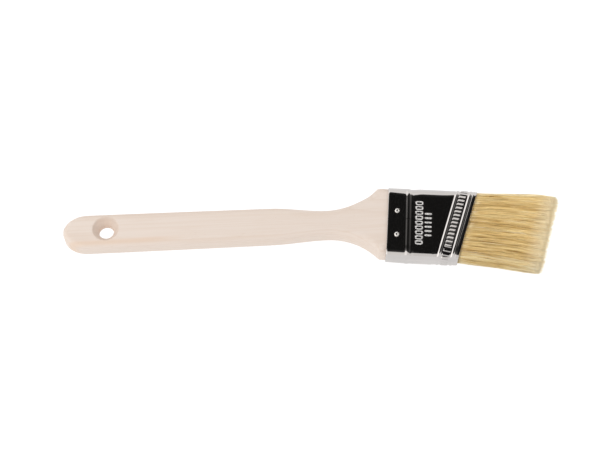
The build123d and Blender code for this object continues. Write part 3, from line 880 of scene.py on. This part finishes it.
def build_core():
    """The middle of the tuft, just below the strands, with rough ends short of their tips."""
    rng = np.random.default_rng(31)
    count = 240
    a, b = outline_share(count)
    ridge = 0.04 * np.sin(a * 60.0) * np.abs(b)
    below = 0.55
    points, reach, tint = [], [], []

    def ring(t, share):
        """One ring of the bundle, at t along it, drawn in to a share of its outline."""
        depth = max(float(np.mean(t)), 0)
        shrink_v = share * (1 - below / MOUTH_W)
        shrink_z = share * (1 - (below + 0.5 * depth) / MOUTH_T)
        u, v, z = tuft_path(a * shrink_v, b * shrink_z + ridge * share, t)
        points.append(head_to_row(u, v, z))
        reach.append(np.maximum(t, 0) * np.ones(count))

    for t in np.linspace(-0.06, 0.92, 26):
        ring(np.full(count, t), 1.0)
        tint.append(np.full(count, 0.35))
    for share in np.linspace(1.0, 0.03, 18):
        ring(rng.uniform(0.92, 0.96, count), share)
        tint.append(rng.uniform(0.1, 0.8, count))
    rows = len(points)
    faces = grid_faces(rows, count, close_columns=True)
    faces.append(tuple(range(count)))
    faces.append(tuple(range(rows * count - 1, (rows - 1) * count - 1, -1)))
    piece = make_object("bristle_core", np.concatenate(points), faces, core_material)
    set_layer(piece, "tint", np.concatenate(tint))
    set_layer(piece, "reach", np.concatenate(reach))
    return piece


def build_roots():
    """The bristles inside the ferrule, from the set resin to just inside the mouth."""
    count, steps = 120, 12
    start_u, behind_mouth, slack = 12.1, 2.6, 0.3
    a, b = outline_share(count)
    v, z = MOUTH_SHIFT + a * (MOUTH_W - slack), b * (MOUTH_T - slack)
    rows = []
    for share in np.linspace(0, 1, steps):
        u = start_u + (mouth_u(v) - behind_mouth - start_u) * share
        rows.append(head_to_row(u, v, z))
    faces = [quad[::-1] for quad in grid_faces(steps, count, close_columns=True)]
    faces.append(tuple(range(count)))
    faces.append(tuple(range(steps * count - 1, (steps - 1) * count - 1, -1)))
    return make_object("bristle_roots", np.concatenate(rows), faces, core_material)


shell = build_strands(
    "bristles_shell", count=3900, seed=11, depths=(0.0, 1.0), radius=0.1, stray=0.015, tip=0.2
)
heart = build_strands(
    "bristles_heart", count=3500, seed=23, depths=(0.8, 6.0), radius=0.11, stray=0.004, tip=0.6
)
core = build_core()
for piece in (shell, heart, core):
    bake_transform(piece)
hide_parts("tuft")
roots = build_roots()
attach(roots, "brush")
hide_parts("bristles_front", "bristles_back")

for node, material in (("resin", resin_material("set_resin")), ("plug", plug_wood)):
    cad = frame["nodes"][node]
    cad.data.materials.clear()
    cad.data.materials.append(material)

# ---- Floor, light and camera --------------------------------------------------------------------
# Low enough for the bent tuft to stay clear of it
FLOOR_Z = -28.0
FLOOR_REACH = 3000.0
floor_nodes = Nodes("floor")
floor_nodes.set(Base_Color=(0.25, 0.25, 0.25, 1.0), Roughness=0.9, Specular_IOR_Level=0.0)
floor_nodes.set(Emission_Color=(1.0, 1.0, 1.0, 1.0), Emission_Strength=0.88)
corners = [
    (x * FLOOR_REACH, y * FLOOR_REACH, FLOOR_Z) for x, y in ((-1, -1), (1, -1), (1, 1), (-1, 1))
]
floor = make_object("floor", corners, [(0, 1, 2, 3)], floor_nodes.material)


def build_world():
    """Even white light. Mirrors see a bright horizon, brighter on the left, under a dark ceiling."""
    world = bpy.data.worlds.new("studio")
    bpy.context.scene.world = world
    world.use_nodes = True
    tree = world.node_tree
    tree.nodes.clear()

    def add(kind, **settings):
        node = tree.nodes.new(kind)
        for key, value in settings.items():
            setattr(node, key, value)
        return node

    def math(operation, a, b=0.0):
        node = add("ShaderNodeMath", operation=operation)
        for socket, value in zip(node.inputs, (a, b)):
            if isinstance(value, (int, float)):
                socket.default_value = value
            else:
                tree.links.new(value, socket)
        return node.outputs[0]

    place = add("ShaderNodeTexCoord").outputs["Generated"]
    split = add("ShaderNodeSeparateXYZ")
    tree.links.new(place, split.inputs[0])
    x, y, z = split.outputs
    # The horizon's light ends about 30 degrees up, higher on the left and far sides and close to
    # the floor on the right
    left = math("MAXIMUM", math("MULTIPLY", x, -1.0), 0.0)
    right = math("MAXIMUM", x, 0.0)
    far = math("MAXIMUM", y, 0.0)
    edge = math("ADD", 0.5, math("MULTIPLY", far, 0.16))
    edge = math("ADD", edge, math("MULTIPLY", left, 0.1))
    edge = math("SUBTRACT", edge, math("MULTIPLY", right, 0.5))
    ramp = add("ShaderNodeMapRange", interpolation_type="SMOOTHSTEP")
    tree.links.new(math("SUBTRACT", z, edge), ramp.inputs["Value"])
    ramp.inputs["From Min"].default_value = 0.03
    ramp.inputs["From Max"].default_value = -0.03
    # A faint glow below the dark ceiling, most of it on the left
    low = math("MAXIMUM", math("SUBTRACT", 0.85, z), 0.0)
    lobes = math("ADD", math("MULTIPLY", right, 0.25), math("MULTIPLY", left, 1.8))
    glow = math("MULTIPLY", low, math("ADD", lobes, math("MULTIPLY", far, 0.16)))
    # The horizon is a little brighter towards its upper edge on the far side
    strip = add("ShaderNodeMapRange", interpolation_type="SMOOTHSTEP")
    tree.links.new(z, strip.inputs["Value"])
    strip.inputs["From Min"].default_value = 0.2
    strip.inputs["From Max"].default_value = 0.38
    band = math("ADD", 0.97, math("MULTIPLY", math("MULTIPLY", strip.outputs["Result"], far), 0.15))
    level = math("ADD", math("MULTIPLY", ramp.outputs["Result"], band), math("ADD", glow, 0.011))
    # Mirrors see that room; everything else is lit by plain soft light
    mirror = add("ShaderNodeBackground")
    tree.links.new(level, mirror.inputs["Strength"])
    mirror.inputs["Color"].default_value = (1.0, 0.985, 0.965, 1.0)
    soft = add("ShaderNodeBackground")
    soft.inputs["Color"].default_value = (1.0, 0.995, 0.99, 1.0)
    above = math("ADD", 0.58, math("MULTIPLY", math("MAXIMUM", z, 0.0), 0.38))
    tree.links.new(above, soft.inputs["Strength"])
    rays = add("ShaderNodeLightPath")
    choose = add("ShaderNodeMixShader")
    tree.links.new(rays.outputs["Is Glossy Ray"], choose.inputs[0])
    tree.links.new(soft.outputs[0], choose.inputs[1])
    tree.links.new(mirror.outputs[0], choose.inputs[2])
    out = add("ShaderNodeOutputWorld")
    tree.links.new(choose.outputs[0], out.inputs["Surface"])


build_world()


def area_light(name, place, target, size, power, spread=180):
    """A round soft light that mirrors don't see; lengths in metres, spread in degrees."""
    data = bpy.data.lights.new(name, "AREA")
    data.spread = radians(spread)
    data.shape = "DISK"
    data.size = size
    data.energy = power
    light = bpy.data.objects.new(name, data)
    bpy.context.scene.collection.objects.link(light)
    light.location = place
    light.rotation_euler = (Vector(target) - Vector(place)).to_track_quat("-Z", "Y").to_euler()
    light.visible_glossy = False
    return light


area_light("key", (-0.4, -0.2, 0.66), (0.08, 0.0, 0.0), size=0.4, power=1.75)
area_light("fill", (0.30, -0.02, 0.17), (0.225, -0.008, 0.0), size=0.05, power=0.0075, spread=40)

# The camera looks down on the front face, from the -Y side and swung slightly to the left
ELEVATION = radians(62.5)
SWING = radians(2.57)
DISTANCE = 0.7
LENS = 84.3
target = Vector((0.0961, 0.00034, 0.0))
back = Vector((-sin(SWING) * cos(ELEVATION), -cos(SWING) * cos(ELEVATION), sin(ELEVATION)))
camera_data = bpy.data.cameras.new("camera")
camera_data.lens = LENS
camera_data.sensor_width = 36.0
camera_data.clip_start = 0.01
camera = bpy.data.objects.new("camera", camera_data)
bpy.context.scene.collection.objects.link(camera)
camera.location = target + back * DISTANCE
right = Vector((cos(SWING), -sin(SWING), 0.0))
up = back.cross(right)
rotation = Matrix((right, up, back)).transposed()
camera.rotation_euler = rotation.to_euler()
bpy.context.scene.camera = camera
bpy.context.scene.view_settings.view_transform = "Standard"
